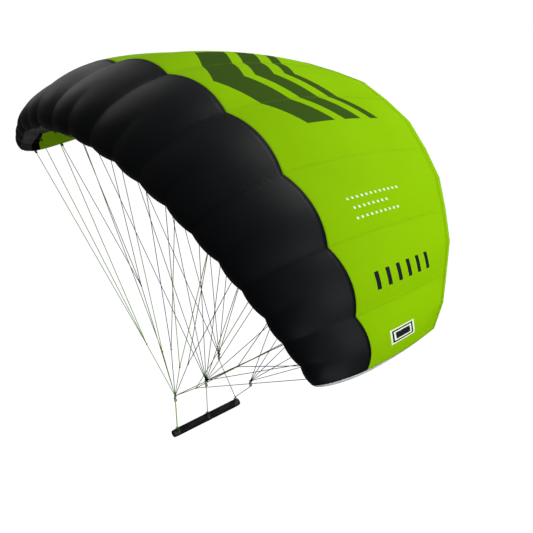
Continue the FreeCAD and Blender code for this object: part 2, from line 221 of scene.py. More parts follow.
# A group's inputs and their values; an input with no value is a vector.
def newGroup(name, inputs, outputs):
    group = bpy.data.node_groups.new(name, "ShaderNodeTree")
    for socket, value in inputs.items():
        kind = "NodeSocketVector" if value is None else "NodeSocketFloat"
        made = group.interface.new_socket(socket, in_out="INPUT", socket_type=kind)
        if value is not None:
            made.default_value = value
    for socket in outputs:
        group.interface.new_socket(socket, in_out="OUTPUT", socket_type="NodeSocketFloat")
    return group, group.nodes.new("NodeGroupInput").outputs, group.nodes.new("NodeGroupOutput").inputs


def useGroup(tree, group, **values):
    return newNode(tree, "ShaderNodeGroup", values, node_tree=group).outputs


# Ripstop: fine yarns with a thicker yarn every few millimetres, lying along the cloth's own map in metres.
def makeRipstopGroup():
    group, start, end = newGroup("ripstopWeave", {
        "Place": None, "YarnPitch": 0.0006, "GridPitch": 0.007, "CrossGrid": 0.5}, ["Height", "Grid"])
    split = splitVector(group, start["Place"])
    lines = []
    yarns = []
    for axis in (0, 1):
        lines.append(ramp(group, offMiddle(group, split[axis], start["GridPitch"]), 0.30, 0.46))
        turns = calc(group, "DIVIDE", split[axis], start["YarnPitch"])
        yarns.append(calc(group, "SINE", calc(group, "MULTIPLY", turns, 2 * math.pi)))
    crossed = calc(group, "MULTIPLY", lines[1], start["CrossGrid"])
    grid = calc(group, "MAXIMUM", lines[0], crossed)
    weave = calc(group, "MULTIPLY", yarns[0], yarns[1])
    plug(group, calc(group, "MULTIPLY_ADD", weave, 0.18, grid), end["Height"])
    plug(group, grid, end["Grid"])
    return group


# Handling marks: broad soft stains and fine dust, on the object's own coordinates.
def makeWearGroup():
    group, start, end = newGroup("handlingWear", {"Broad": 6.0, "Fine": 90.0}, ["Stain", "Dust"])
    place = objectPlace(group)
    for size, mark, low, high in (("Broad", "Stain", 0.42, 0.68), ("Fine", "Dust", 0.55, 0.75)):
        plug(group, ramp(group, noise(group, place, start[size], 4), low, high), end[mark])
    return group


braid = {"turnLong": 0.008, "strands": 3.0}   # length of one turn, and strands wound each way


# Braid: two sets of strands that wind opposite ways round a line; the map is metres along, turns round.
def makeBraidGroup():
    group, start, end = newGroup("braid", {"Place": None}, ["Height", "GapShade"])
    split = splitVector(group, start["Place"])
    along = calc(group, "DIVIDE", split[0], braid["turnLong"])
    strands = []
    for hand in (1, -1):
        wound = calc(group, "MULTIPLY_ADD", split[1], hand, along)
        turn = calc(group, "MULTIPLY", calc(group, "MULTIPLY", wound, braid["strands"]), 2 * math.pi)
        strands.append(calc(group, "SINE", turn))
    height = calc(group, "MAXIMUM", *strands)
    plug(group, height, end["Height"])
    # Painted shade: a mask that is one in the low places between the strands, where shade would fall.
    plug(group, ramp(group, height, 0.4, -0.4), end["GapShade"])
    return group


ripstopGroup = makeRipstopGroup()
wearGroup = makeWearGroup()
braidGroup = makeBraidGroup()


# Small puckers that run across a seam and fade beside it.
def seamPucker(tree, lay):
    offset = offMiddle(tree, splitVector(tree, clothMap(tree, "cellPlace"))[0])
    return calc(tree, "MULTIPLY", noise(tree, lay, 38, 2.0), ramp(tree, offset, 0.40, 0.5))


def makeRipstop(name, cloth, tone=None):
    colour = cloth["colour"]
    material, tree, shader = newMaterial(name, cloth["roughness"], Sheen_Weight=cloth["sheen"],
                                         Specular_IOR_Level=cloth["specular"])
    lay = clothMap(tree, "clothLay")
    weave = useGroup(tree, ripstopGroup, Place=lay, GridPitch=cloth["gridPitch"])
    wear = useGroup(tree, wearGroup, Broad=1.6, Fine=220.0)
    shade = tint(tree, colour, scaled(colour, 0.82), wear["Stain"], 0.35)
    shade = tint(tree, shade, scaled(colour, 1.5, 0.002), weave["Grid"], cloth["gridShade"])
    shade = tint(tree, shade, (0.55, 0.55, 0.5, 1), wear["Dust"], 0.002)
    paint(tree, shader, tone(tree, shade, lay) if tone else shade)
    rough = calc(tree, "MULTIPLY_ADD", wear["Stain"], 0.10, cloth["roughness"])
    plug(tree, rough, shader.inputs["Roughness"])
    crease = calc(tree, "MULTIPLY_ADD", noise(tree, lay, 7, 3.0), 0.35, seamPucker(tree, lay))
    soft = newNode(tree, "ShaderNodeBump", {"Height": crease, "Distance": 0.004, "Strength": 0.6})
    bump(tree, shader, weave["Height"], cloth["weaveDepth"], 0.6, soft.outputs[0])
    return material


canopy = {
    "arcHalfWidth": 1.417, "arcHeight": 1.207, "tipAngle": 63.5, "cells": 9, "cellTaper": 0.174,
    "rootChord": 1.68, "tipChord": 0.807, "chordFullness": 2.05, "tipSweep": 0.163, "sweepPower": 2.2,
    "pitch": 8.5, "liftPlace": 0.33, "rootDepth": 0.193, "tipDepth": 0.205, "camber": 0.045,
    "camberPlace": 0.35, "hemDepth": 0.002, "middleBulge": 0.013, "middleSwell": 1.08,
    "panelSeam": 0.28, "lipPlace": 0.01, "intakePlace": 0.07, "hemPlace": 0.985,
    "noseLobe": 0.012,       # how far each half cell swells at the nose
    "noseReach": 0.14,       # place on the chord where those lobes have faded
    "nosePower": 1.2,        # how sharply they fade
    "underLobe": 0.007,      # swell of each half cell underneath
    "underRise": (0.05, 0.2),   # places on the chord between which it grows
    "hemFade": 0.80,         # from here back the cells flatten to the trailing edge
    "wideCell": 0.33,        # a cell this wide or wider swells fully
    "borderBow": 0.026,      # how far the black cloth runs back in the middle of a cell
    "clothThick": 0.0008,
    "stepsAcross": 12,       # mesh steps over half a cell
    "arcSteps": 400,         # steps in which the way round the profile is measured
}

pitchTurn = math.radians(canopy["pitch"])
chordWay = Vector((math.cos(pitchTurn), 0, -math.sin(pitchTurn)))
arcTop = canopy["arcHeight"] * (1 + canopy["middleBulge"] / canopy["arcHalfWidth"])
lift = chordWay * (canopy["liftPlace"] * canopy["rootChord"])
origin = Vector((lift.x, 0, arcTop + lift.z))
lipTurn = -math.sqrt(canopy["lipPlace"])
intakeTurn = -math.sqrt(canopy["intakePlace"])
hemTurn = math.sqrt(canopy["hemPlace"])


class Station:
    def __init__(self, number):
        middle = number != int(number)
        place = 2 * number / canopy["cells"] - 1
        taper = canopy["cellTaper"]
        share = place * (1 + taper) - taper * place ** 3
        angle = math.radians(canopy["tipAngle"] * share)
        reach = 1 + (canopy["middleBulge"] / canopy["arcHalfWidth"] if middle else 0)
        width = canopy["arcHalfWidth"]
        height = canopy["arcHeight"]
        sweep = canopy["tipSweep"] * abs(share) ** canopy["sweepPower"]
        self.chord = canopy["rootChord"]
        self.chord -= (canopy["rootChord"] - canopy["tipChord"]) * abs(share) ** canopy["chordFullness"]
        onArc = (sweep, width * reach * math.sin(angle), height * reach * math.cos(angle))
        self.edge = Vector(onArc) - origin
        outward = Vector((0, height * math.sin(angle), width * math.cos(angle))).normalized()
        self.outward = (outward - chordWay * outward.dot(chordWay)).normalized()
        self.span = self.outward.cross(chordWay)
        self.depth = canopy["rootDepth"] - (canopy["rootDepth"] - canopy["tipDepth"]) * share * share
        self.depth *= canopy["middleSwell"] if middle else 1


stations = {half / 2: Station(half / 2) for half in range(2 * canopy["cells"] + 1)}


# A point of the rib profile: turn runs from -1 at the lower trailing edge through 0 at the nose to 1.
def outline(rib, turn, inset=0.0):
    x, rise = profile(rib, turn)
    if inset:
        aheadX, aheadRise = profile(rib, turn + 0.001)
        backX, backRise = profile(rib, turn - 0.001)
        run = math.hypot(aheadX - backX, aheadRise - backRise)
        x += inset * (aheadRise - backRise) / run
        rise -= inset * (aheadX - backX) / run
    return rib.edge + chordWay * x + rib.outward * rise


def profile(rib, turn):
    x = turn * turn
    half = 0.2969 * abs(turn) - 0.1260 * x - 0.3516 * x ** 2 + 0.2843 * x ** 3 - 0.1036 * x ** 4
    half = 5 * rib.depth * half + canopy["hemDepth"] / 2 / rib.chord * x
    peak = canopy["camberPlace"]
    reach = peak if x < peak else 1 - peak
    bow = canopy["camber"] * (1 - ((x - peak) / reach) ** 2)
    return x * rib.chord, (bow + math.copysign(half, turn)) * rib.chord


def smooth(value, low, high):
    share = min(1.0, max(0.0, (value - low) / (high - low)))
    return share * share * (3 - 2 * share)


# How far half a cell swells beyond the straight cloth between its rib and its middle rib.
def swell(cell, turn, tent):
    x = turn * turn
    flatter = 1 - smooth(x, canopy["hemFade"], canopy["hemPlace"])
    nose = canopy["noseLobe"] * (1 - smooth(x, 0.0, canopy["noseReach"])) ** canopy["nosePower"]
    under = canopy["underLobe"] * smooth(x, *canopy["underRise"]) * flatter if turn < 0 else 0
    width = (stations[cell].edge - stations[cell - 1].edge).length / canopy["wideCell"]
    return max(tent / 4, 0) * flatter + (nose + under) * min(width, 1.0)


# The station to the left of a place across the canopy, and the share of the way to the next.
def halfCell(number):
    left = min(int(number * 2), 2 * canopy["cells"] - 1) / 2
    return left, (number - left) / 0.5


# A point of the ballooned skin at a place across the canopy and round the profile.
def skinPoint(number, turn, raised=0.0):
    cell = min(int(number), canopy["cells"] - 1) + 1
    left, share = halfCell(number)
    first = stations[left]
    second = stations[left + 0.5]
    low = outline(first, turn)
    high = outline(second, turn)
    point = low.lerp(high, share)
    ahead = outline(first, turn + 0.002).lerp(outline(second, turn + 0.002), share)
    normal = (ahead - point).cross(high - low).normalized()
    ribs = (outline(stations[cell - 1], turn) + outline(stations[cell], turn)) / 2
    tent = (outline(stations[cell - 0.5], turn) - ribs).dot(normal)
    return point + normal * (swell(cell, turn, tent) * 4 * share * (1 - share) + raised)


def chordAt(number):
    left, share = halfCell(number)
    return stations[left].chord + (stations[left + 0.5].chord - stations[left].chord) * share


def borderTurn(number):
    inCell = number - int(number)
    bow = 1 - (2 * inCell - 1) ** 2 if inCell else 0
    return math.sqrt(canopy["panelSeam"] + canopy["borderBow"] * bow / chordAt(number))


# Distance round the profile from the nose, in chords, after each step each way.
def profileLengths():
    rib = stations[canopy["cells"] / 2]
    steps = canopy["arcSteps"]
    lengths = {0: 0.0}
    for sign in (-1, 1):
        last = profile(rib, 0)
        for step in range(1, steps + 1):
            point = profile(rib, sign * step / steps)
            lengths[sign * step] = lengths[sign * (step - 1)] + sign * math.dist(point, last) / rib.chord
            last = point
    return lengths


arcTable = profileLengths()


def layBack(number, turn):
    exact = max(-1.0, min(1.0, turn)) * canopy["arcSteps"]
    below = math.floor(exact)
    above = min(below + 1, canopy["arcSteps"])
    return chordAt(number) * (arcTable[below] + (arcTable[above] - arcTable[below]) * (exact - below))


def layAcross():
    total = {0.0: 0.0}
    for half in range(1, 2 * canopy["cells"] + 1):
        gap = (stations[half / 2].edge - stations[half / 2 - 0.5].edge).length
        total[half / 2] = total[half / 2 - 0.5] + gap
    middle = total[canopy["cells"] / 2]
    return {number: value - middle for number, value in total.items()}


spanTable = layAcross()


# A place on the cloth's own map: metres across from the middle, and metres round from the nose.
def layOf(number, turn):
    left, share = halfCell(number)
    return spanTable[left] + (spanTable[left + 0.5] - spanTable[left]) * share, layBack(number, turn)


def newPiece(name, mesh, body, material, replaced=(), smoothed=True):
    piece = addObject(name, mesh)
    if material:
        mesh.materials.clear()
        mesh.materials.append(material)
    mesh.polygons.foreach_set("use_smooth", [smoothed] * len(mesh.polygons))
    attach(piece, body)
    if replaced:
        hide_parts(*replaced)
    return piece


def meshOf(name, points, faces):
    mesh = bpy.data.meshes.new(name)
    mesh.from_pydata([tuple(point) for point in points], [], faces)
    mesh.update()
    return mesh


def setMap(mesh, name, places):
    layer = mesh.uv_layers.new(name=name)
    for loop in mesh.loops:
        layer.data[loop.index].uv = places[loop.vertex_index]


# The mesh that an object's modifiers make, as a plain mesh of its own. The object is then removed.
def finishedMesh(rough, name):
    bpy.context.view_layer.update()
    graph = bpy.context.evaluated_depsgraph_get()
    mesh = bpy.data.meshes.new_from_object(rough.evaluated_get(graph), depsgraph=graph)
    mesh.name = name
    bpy.data.objects.remove(rough)
    return mesh


def thicken(mesh, name, offset=-1.0):
    rough = addObject(name, mesh)
    wall = rough.modifiers.new("wall", "SOLIDIFY")
    wall.thickness = canopy["clothThick"]
    wall.offset = offset
    wall.use_even_offset = False
    return finishedMesh(rough, name)


# A mesh with its faces turned outward, after points nearer than a given distance are joined.
def faceOutward(mesh, joinWithin=0.0):
    shape = bmesh.new()
    shape.from_mesh(mesh)
    if joinWithin:
        bmesh.ops.remove_doubles(shape, verts=shape.verts, dist=joinWithin)
    bmesh.ops.recalc_face_normals(shape, faces=shape.faces)
    shape.to_mesh(mesh)
    shape.free()


def gridFaces(steps, rows):
    return [(a, a + 1, a + rows + 2, a + rows + 1)
            for step in range(steps) for a in range(step * (rows + 1), step * (rows + 1) + rows)]


# A mesh over a grid of places, each its point, its lay on the cloth and its place in the cells.
def clothMesh(name, steps, rows, places):
    points, lays, cells = zip(*places)
    mesh = meshOf(name, points, gridFaces(steps, rows))
    setMap(mesh, "clothLay", lays)
    setMap(mesh, "cellPlace", cells)
    return mesh


# A continuous panel over all the cells, between two places round the profile.
def skinSheet(name, firstTurn, lastTurn, rows, raised=0.0):
    steps = canopy["stepsAcross"] * 2 * canopy["cells"]
    places = []
    for step in range(steps + 1):
        number = canopy["cells"] * step / steps
        start = firstTurn(number)
        end = lastTurn(number)
        for row in range(rows + 1):
            turn = start + (end - start) * row / rows
            places.append((skinPoint(number, turn, raised), layOf(number, turn), (number, turn * abs(turn))))
    return clothMesh(name, steps, rows, places)


blackCloth = {
    "colour": (0.0008, 0.0015, 0.0024, 1), "roughness": 0.48, "sheen": 0.0, "specular": 0.13,
    "gridPitch": 0.007, "gridShade": 0.35, "weaveDepth": 0.0003,
}
limeCloth = {
    "colour": (0.250, 0.51, 0.0006, 1), "roughness": 0.75, "sheen": 0.0, "specular": 0.02,
    "gridPitch": 0.009, "gridShade": 0.10, "weaveDepth": 0.0003,
}
tapeCloth = dict(limeCloth, gridPitch=0.004, gridShade=0.3, weaveDepth=0.0004)
tipCloth = {
    "colour": (0.62, 0.66, 0.68, 1), "roughness": 0.6, "sheen": 0.1, "specular": 0.3,
    "gridPitch": 0.007, "gridShade": 0.25, "weaveDepth": 0.0003,
}
innerCloth = dict(tipCloth, colour=(0.75, 0.76, 0.76, 1))

# Printed marks on the top cloth. A place is metres across from the middle, then metres back from the nose.
prints = {
    "chevronColour": (0.040, 0.085, 0.009, 1),
    "chevrons": ((0.78, 0.20), (1.02, 0.13), (1.20, 0.07)),   # place of the point, thickness
    "chevronHalf": 0.40,
    "chevronLean": 0.55,
    "barColour": (0.012, 0.016, 0.02, 1),
    "bars": ((-1.17, 0.80), (0.038, 0.27), 0.083, 0.36, -0.45),   # place, half size, pitch, share, slant
    "dashColour": (0.80, 0.90, 0.70, 1),
    "dashRows": ((-0.806, 0.925, 0.22), (-0.850, 0.86, 0.14), (-0.895, 0.875, 0.18)),
    "dashHalf": 0.0055, "dashPitch": 0.035, "dashShare": 0.36,
    "underBand": 0.135,
    "badgeAt": (-1.427, 0.58), "badgeHalf": (0.026, 0.085), "badgeSlant": -0.45,
    "badgeRim": 0.006, "badgeStretch": 2.2,
}


# A slanted rectangle as a mask: one inside, nought outside.
def printedBox(tree, lay, centre, half, slant):
    split = splitVector(tree, lay)
    sideways = calc(tree, "SUBTRACT", split[0], centre[0])
    back = calc(tree, "SUBTRACT", split[1], centre[1])
    leaned = calc(tree, "MULTIPLY_ADD", sideways, slant, back)
    inSide = calc(tree, "LESS_THAN", calc(tree, "ABSOLUTE", sideways), half[0])
    inBack = calc(tree, "LESS_THAN", calc(tree, "ABSOLUTE", leaned), half[1])
    return calc(tree, "MULTIPLY", inSide, inBack), leaned


# A row of slanted bars inside such a rectangle.
def printedBars(tree, lay, centre, half, pitch, share, slant=0.0):
    box, leaned = printedBox(tree, lay, centre, half, slant)
    return calc(tree, "MULTIPLY", box, calc(tree, "LESS_THAN", offMiddle(tree, leaned, pitch), share / 2))


def limePrint(tree, shade, lay):
    split = splitVector(tree, lay)
    out = calc(tree, "ABSOLUTE", split[0])
    lean = calc(tree, "MULTIPLY_ADD", out, -prints["chevronLean"], split[1])
    chevron = 0.0
    for back, thick in prints["chevrons"]:
        offset = calc(tree, "ABSOLUTE", calc(tree, "SUBTRACT", lean, back))
        chevron = calc(tree, "MAXIMUM", chevron, calc(tree, "LESS_THAN", offset, thick / 2))
    chevron = calc(tree, "MULTIPLY", chevron, calc(tree, "LESS_THAN", out, prints["chevronHalf"]))
    shade = mixColour(tree, chevron, shade, prints["chevronColour"])
    shade = mixColour(tree, printedBars(tree, lay, *prints["bars"]), shade, prints["barColour"])
    for sideways, back, half in prints["dashRows"]:
        dashes = printedBars(tree, lay, (sideways, back), (prints["dashHalf"], half), prints["dashPitch"],
                             prints["dashShare"])
        shade = mixColour(tree, dashes, shade, prints["dashColour"])
    rim = prints["badgeRim"]
    wide, long = prints["badgeHalf"]
    for rims, colour in ((1, "dashColour"), (0, "barColour"), (-1, "dashColour"), (-2, "barColour")):
        half = (wide + rims * rim, long + rims * rim * prints["badgeStretch"])
        plate, leaned = printedBox(tree, lay, prints["badgeAt"], half, prints["badgeSlant"])
        shade = mixColour(tree, plate, shade, prints[colour])
    return shade


# The lower skin is black for a hand's width behind the intake net.
def underPrint(tree, shade, lay):
    back = calc(tree, "ABSOLUTE", splitVector(tree, lay)[1])
    return mixColour(tree, calc(tree, "LESS_THAN", back, prints["underBand"]), shade, blackCloth["colour"])


skin = {"rows": (34, 30, 34), "lap": 0.006, "lapRaised": 0.0006}


def makeSkins():
    black = makeRipstop("blackRipstop", blackCloth)
    lime = makeRipstop("limeRipstop", limeCloth, limePrint)
    under = makeRipstop("limeRipstopUnder", limeCloth, underPrint)
    lap = skin["lap"]
    plans = [
        ("leadingEdgeSkin", lambda n: lipTurn, lambda n: borderTurn(n) + lap, skin["lapRaised"],
         black, "leading_edge", "black_ripstop"),
        ("topSkin", borderTurn, lambda n: hemTurn, 0.0, lime, "top", "lime_ripstop"),
        ("bottomSkin", lambda n: -hemTurn, lambda n: intakeTurn, 0.0, under, "bottom", "lime_ripstop"),
    ]
    for rows, (name, first, last, raised, material, kind, slot) in zip(skin["rows"], plans):
        mesh = skinSheet(name, first, last, rows, raised)
        panels = [f"{kind}_panel_{cell}" for cell in range(1, canopy["cells"] + 1)]
        piece = newPiece(name, thicken(mesh, name), "canopy", material, panels)


makeSkins()
print("skins made")


net = {
    "colour": (0.010, 0.011, 0.012, 1), "holeColour": (0.02, 0.02, 0.022, 1), "holePitch": 0.004,
    "holeShare": 0.62, "holeEdge": 0.04, "yarnDepth": 0.0005, "rows": 6, "lap": 0.004, "raised": -0.0012,
}
hemTape = {"proud": 0.0008, "lap": 0.003, "bendTurn": 0.996, "lastTurn": 0.999, "over": 0.003}
ribs = {"inset": 0.0012, "spans": 60, "tipDome": 0.034, "tipRows": 14, "tipStart": 0.02, "ventShare": 0.5,
        "ventStretch": 1.5, "vents": (0.22, 0.42, 0.62), "ventSteps": 28}


def makeNet():
    material, tree, shader = newMaterial("intakeNet", 0.6)
    split = splitVector(tree, clothMap(tree, "clothLay"))
    offset = calc(tree, "MAXIMUM", *(offMiddle(tree, split[axis], net["holePitch"]) for axis in (0, 1)))
    half = net["holeShare"] / 2
    yarn = ramp(tree, offset, half - net["holeEdge"], half + net["holeEdge"])
    paint(tree, shader, mixColour(tree, yarn, net["holeColour"], net["colour"]))
    plug(tree, yarn, shader.inputs["Alpha"])
    bump(tree, shader, yarn, net["yarnDepth"])
    first = intakeTurn - net["lap"]
    last = lipTurn + net["lap"]
    mesh = skinSheet("intakeNet", lambda n: first, lambda n: last, net["rows"], net["raised"])
    piece = newPiece("intakeNet", mesh, "canopy", material, ["intake_mesh"])


# The tape is folded over the cloth's rear edges, so its section is a narrow U.
def makeHemTape():
    front = hemTurn - hemTape["lap"]
    turns = [front, hemTape["bendTurn"], 1.0, -1.0, -hemTape["bendTurn"], -front]
    steps = 4 * canopy["cells"]
    places = []
    for step in range(steps + 1):
        number = canopy["cells"] * step / steps
        for turn in turns:
            held = math.copysign(min(abs(turn), hemTape["lastTurn"]), turn)
            point = skinPoint(number, held, hemTape["proud"])
            if abs(turn) == 1:
                point += chordWay * hemTape["over"]
            places.append((point, layOf(number, turn), (number, turn)))
    mesh = clothMesh("hemTape", steps, len(turns) - 1, places)
    material = makeRipstop("hemTape", tapeCloth)
    piece = newPiece("hemTape", mesh, "canopy", material, ["trailing_edge_tape"])


def ribPlaces(mesh, rib):
    offsets = [vertex.co - rib.edge for vertex in mesh.vertices]
    setMap(mesh, "clothLay", [(offset.dot(chordWay), offset.dot(rib.outward)) for offset in offsets])
    setMap(mesh, "cellPlace", [(0.25, 0.5)] * len(offsets))


# A tip rib is one domed sheet, pushed out a little by the air inside.
def makeTipRib(number, name, node, material):
    rib = stations[number]
    outside = -1 if number == 0 else 1
    first = ribs["tipStart"]
    rows = ribs["tipRows"]
    points = []
    for step in range(ribs["spans"] + 1):
        turn = first + (hemTurn - first) * step / ribs["spans"]
        top = outline(rib, turn, ribs["inset"])
        low = outline(rib, -turn, ribs["inset"])
        room = (top - low).length / (canopy["tipDepth"] * rib.chord)
        for row in range(rows + 1):
            share = row / rows
            dome = ribs["tipDome"] * room * (1 - (2 * share - 1) ** 2)
            points.append(low.lerp(top, share) + rib.span * outside * dome)
    faces = []
    for step in range(ribs["spans"]):
        for row in range(rows):
            a = step * (rows + 1) + row
            face = (a, a + rows + 1, a + rows + 2, a + 1)
            faces.append(face if outside < 0 else face[::-1])
    mesh = meshOf(name, points, faces)
    ribPlaces(mesh, rib)
    piece = newPiece(name, thicken(mesh, name), "canopy", material, [node])


# A line-carrying or middle rib: flat cloth cut to the profile, with oval vents.
def flatRib(number):
    rib = stations[number]
    count = ribs["spans"] * 2
    turns = [-hemTurn + 2 * hemTurn * step / count for step in range(count + 1)]
    loops = [[outline(rib, turn, ribs["inset"]) for turn in turns]]
    for place in ribs["vents"]:
        top = outline(rib, math.sqrt(place))
        low = outline(rib, -math.sqrt(place))
        middle = (top + low) / 2
        high = (top - low).length / 2 * ribs["ventShare"]
        turns = [2 * math.pi * step / ribs["ventSteps"] for step in range(ribs["ventSteps"])]
        loops.append([middle + chordWay * (math.cos(turn) * high * ribs["ventStretch"])
                      + rib.outward * (math.sin(turn) * high) for turn in turns])
    shape = bmesh.new()
    edges = []
    for loop in loops:
        corners = [shape.verts.new(point) for point in loop]
        edges += [shape.edges.new((corners[index - 1], corners[index])) for index in range(len(corners))]
    bmesh.ops.triangle_fill(shape, use_beauty=True, use_dissolve=False, edges=edges, normal=rib.span)
    mesh = bpy.data.meshes.new(f"rib{number}")
    shape.to_mesh(mesh)
    shape.free()
    ribPlaces(mesh, rib)
    return mesh


def joined(name, meshes):
    shape = bmesh.new()
    for mesh in meshes:
        shape.from_mesh(mesh)
    made = bpy.data.meshes.new(name)
    shape.to_mesh(made)
    shape.free()
    return made


def makeRibs():
    tip = makeRipstop("tipCloth", tipCloth)
    inner = makeRipstop("ribCloth", innerCloth)
    makeTipRib(0, "leftTipRib", "left_tip_rib", tip)
    makeTipRib(canopy["cells"], "rightTipRib", "right_tip_rib", tip)
    lineRibs = range(1, canopy["cells"])
    middles = [cell - 0.5 for cell in range(1, canopy["cells"] + 1)]
    for name, numbers, replaced in (("lineRibs", lineRibs, [f"rib_{number}" for number in lineRibs]),
                                    ("middleRibs", middles, ["middle_ribs"])):
        flat = joined(name, [flatRib(number) for number in numbers])
        wall = thicken(flat, name, offset=0.0)
        piece = newPiece(name, wall, "canopy", inner, replaced, smoothed=False)


makeNet()
makeHemTape()
makeRibs()
print("net, tape and ribs made")


# What repeats: stitches along the seams and the sewn loops under the ribs.
def geometryTree(name, inputs):
    tree = bpy.data.node_groups.new(name, "GeometryNodeTree")
    for socket, kind in {"Geometry": "Geometry", **inputs}.items():
        tree.interface.new_socket(socket, in_out="INPUT", socket_type=f"NodeSocket{kind}")
    tree.interface.new_socket("Geometry", in_out="OUTPUT", socket_type="NodeSocketGeometry")
    return tree, tree.nodes.new("NodeGroupInput").outputs, tree.nodes.new("NodeGroupOutput").inputs


def turnTo(tree, axis, vector, rotation=None, pivot="AUTO"):
    inputs = {"Vector": vector}
    if rotation is not None:
        inputs["Rotation"] = rotation
    return newNode(tree, "FunctionNodeAlignRotationToVector", inputs, axis=axis, pivot_axis=pivot).outputs[0]


def namedVector(tree, name):
    node = newNode(tree, "GeometryNodeInputNamedAttribute", {"Name": name}, data_type="FLOAT_VECTOR")
    return node.outputs["Attribute"]


# One shape at each point, turned as asked, made real and given its material.
def repeatShape(tree, start, end, points, shape, turned):
    placed = newNode(tree, "GeometryNodeInstanceOnPoints", {
        "Points": points, "Instance": shape, "Rotation": turned})
    real = newNode(tree, "GeometryNodeRealizeInstances", {0: placed.outputs[0]})
    painted = newNode(tree, "GeometryNodeSetMaterial", {
        "Geometry": real.outputs[0], "Material": start["Material"]})
    plug(tree, painted.outputs[0], end[0])


# Stitches along a line: small rounded lengths of thread that lie on the cloth.
def makeStitchTree():
    tree, start, end = geometryTree("stitchRow", {
        "Spacing": "Float", "Length": "Float", "Thread": "Float", "Material": "Material"})
    path = newNode(tree, "GeometryNodeMeshToCurve", {0: start["Geometry"]})
    spaced = newNode(tree, "GeometryNodeResampleCurve", {
        "Curve": path.outputs[0], "Length": start["Spacing"]}, mode="LENGTH")
    ball = newNode(tree, "GeometryNodeMeshIcoSphere", {"Radius": 0.5, "Subdivisions": 1})
    size = (start["Length"], start["Thread"], start["Thread"])
    shape = newNode(tree, "ShaderNodeCombineXYZ", dict(enumerate(size)))
    thread = newNode(tree, "GeometryNodeTransform", {
        "Geometry": ball.outputs["Mesh"], "Scale": shape.outputs[0]})
    turned = turnTo(tree, "X", newNode(tree, "GeometryNodeInputTangent").outputs[0])
    turned = turnTo(tree, "Z", namedVector(tree, "liftWay"), turned, "X")
    repeatShape(tree, start, end, spaced.outputs[0], thread.outputs[0], turned)
    return tree


# One sewn loop at each point, with its length along the chord and hanging away from the rib.
def makeLoopTree():
    tree, start, end = geometryTree("bridleLoops", {"Loop": "Object", "Material": "Material"})
    loop = newNode(tree, "GeometryNodeObjectInfo", {"Object": start["Loop"]})
    points = newNode(tree, "GeometryNodeMeshToPoints", {0: start["Geometry"]})
    turned = turnTo(tree, "Z", namedVector(tree, "liftWay"))
    turned = turnTo(tree, "X", namedVector(tree, "longWay"), turned, "Z")
    repeatShape(tree, start, end, points.outputs[0], loop.outputs["Geometry"], turned)
    return tree


def setVectors(mesh, name, vectors):
    layer = mesh.attributes.new(name, "FLOAT_VECTOR", "POINT")
    for index, vector in enumerate(vectors):
        layer.data[index].vector = vector


def grown(name, source, tree, values):
    rough = addObject(name, source)
    modifier = rough.modifiers.new("made", "NODES")
    modifier.node_group = tree
    for item in tree.interface.items_tree:
        if item.in_out == "INPUT" and item.name in values:
            modifier[item.identifier] = values[item.name]
    return finishedMesh(rough, name)


stitch = {
    "spacing": 0.0095, "length": 0.006, "thread": 0.0011, "beside": 0.004, "raised": 0.0006, "reach": 46,
    "lapRaised": 0.0012,    # over the lapped black cloth
    "hemRaised": 0.0014,    # over the tape
    "ends": 0.004,          # how far a seam row stays from the wing tips and from the hem
    "lipGap": 0.01, "lapGap": 0.006, "borderGap": 0.012,   # how far it stays from the cloth's other edges
    "hemTurn": 0.9945, "hemSteps": 36, "borderBeside": 0.003, "borderSteps": 16,
    "darkColour": (0.003, 0.0034, 0.004, 1), "greenColour": (0.24, 0.49, 0.001, 1),
}


def newThread(name, colour):
    material, tree, shader = newMaterial(name, 0.65, Specular_IOR_Level=0.08)
    wear = useGroup(tree, wearGroup, Broad=9.0, Fine=500.0)
    paint(tree, shader, mixColour(tree, wear["Dust"], colour, scaled(colour, 1.3, 0.001)))
    bump(tree, shader, wear["Dust"], 0.0002)
    return material


# A row of stitches beside each side of every seam, from one place round the profile to another.
def seamLines(first, last):
    steps = stitch["reach"]
    lines = []
    for number in range(canopy["cells"] + 1):
        tipCell = (stations[1].edge - stations[0].edge).length
        width = tipCell if number in (0, canopy["cells"]) else canopy["wideCell"]
        for side in (-1, 1):
            place = number + side * stitch["beside"] / width
            place = min(max(place, stitch["ends"]), canopy["cells"] - stitch["ends"])
            start = first(number)
            way = last(number) - start
            lines.append([(place, start + way * step / steps) for step in range(steps + 1)])
    return lines


# A row along the border of the black cloth.
def borderLine(beside):
    steps = canopy["cells"] * stitch["borderSteps"]
    numbers = [canopy["cells"] * step / steps for step in range(steps + 1)]
    return [(number, borderTurn(number) + beside) for number in numbers]


def stitchMesh(name, lines, tree, material, raised):
    points = []
    edges = []
    lifts = []
    for line in lines:
        first = len(points)
        for number, turn in line:
            low = skinPoint(number, turn, raised)
            points.append(low)
            lifts.append((skinPoint(number, turn, raised + 0.01) - low).normalized())
        edges += [(index, index + 1) for index in range(first, len(points) - 1)]
    mesh = bpy.data.meshes.new(name)
    mesh.from_pydata([tuple(point) for point in points], edges, [])
    setVectors(mesh, "liftWay", lifts)
    return grown(name, mesh, tree, {"Spacing": stitch["spacing"], "Length": stitch["length"],
                                    "Thread": stitch["thread"], "Material": material})


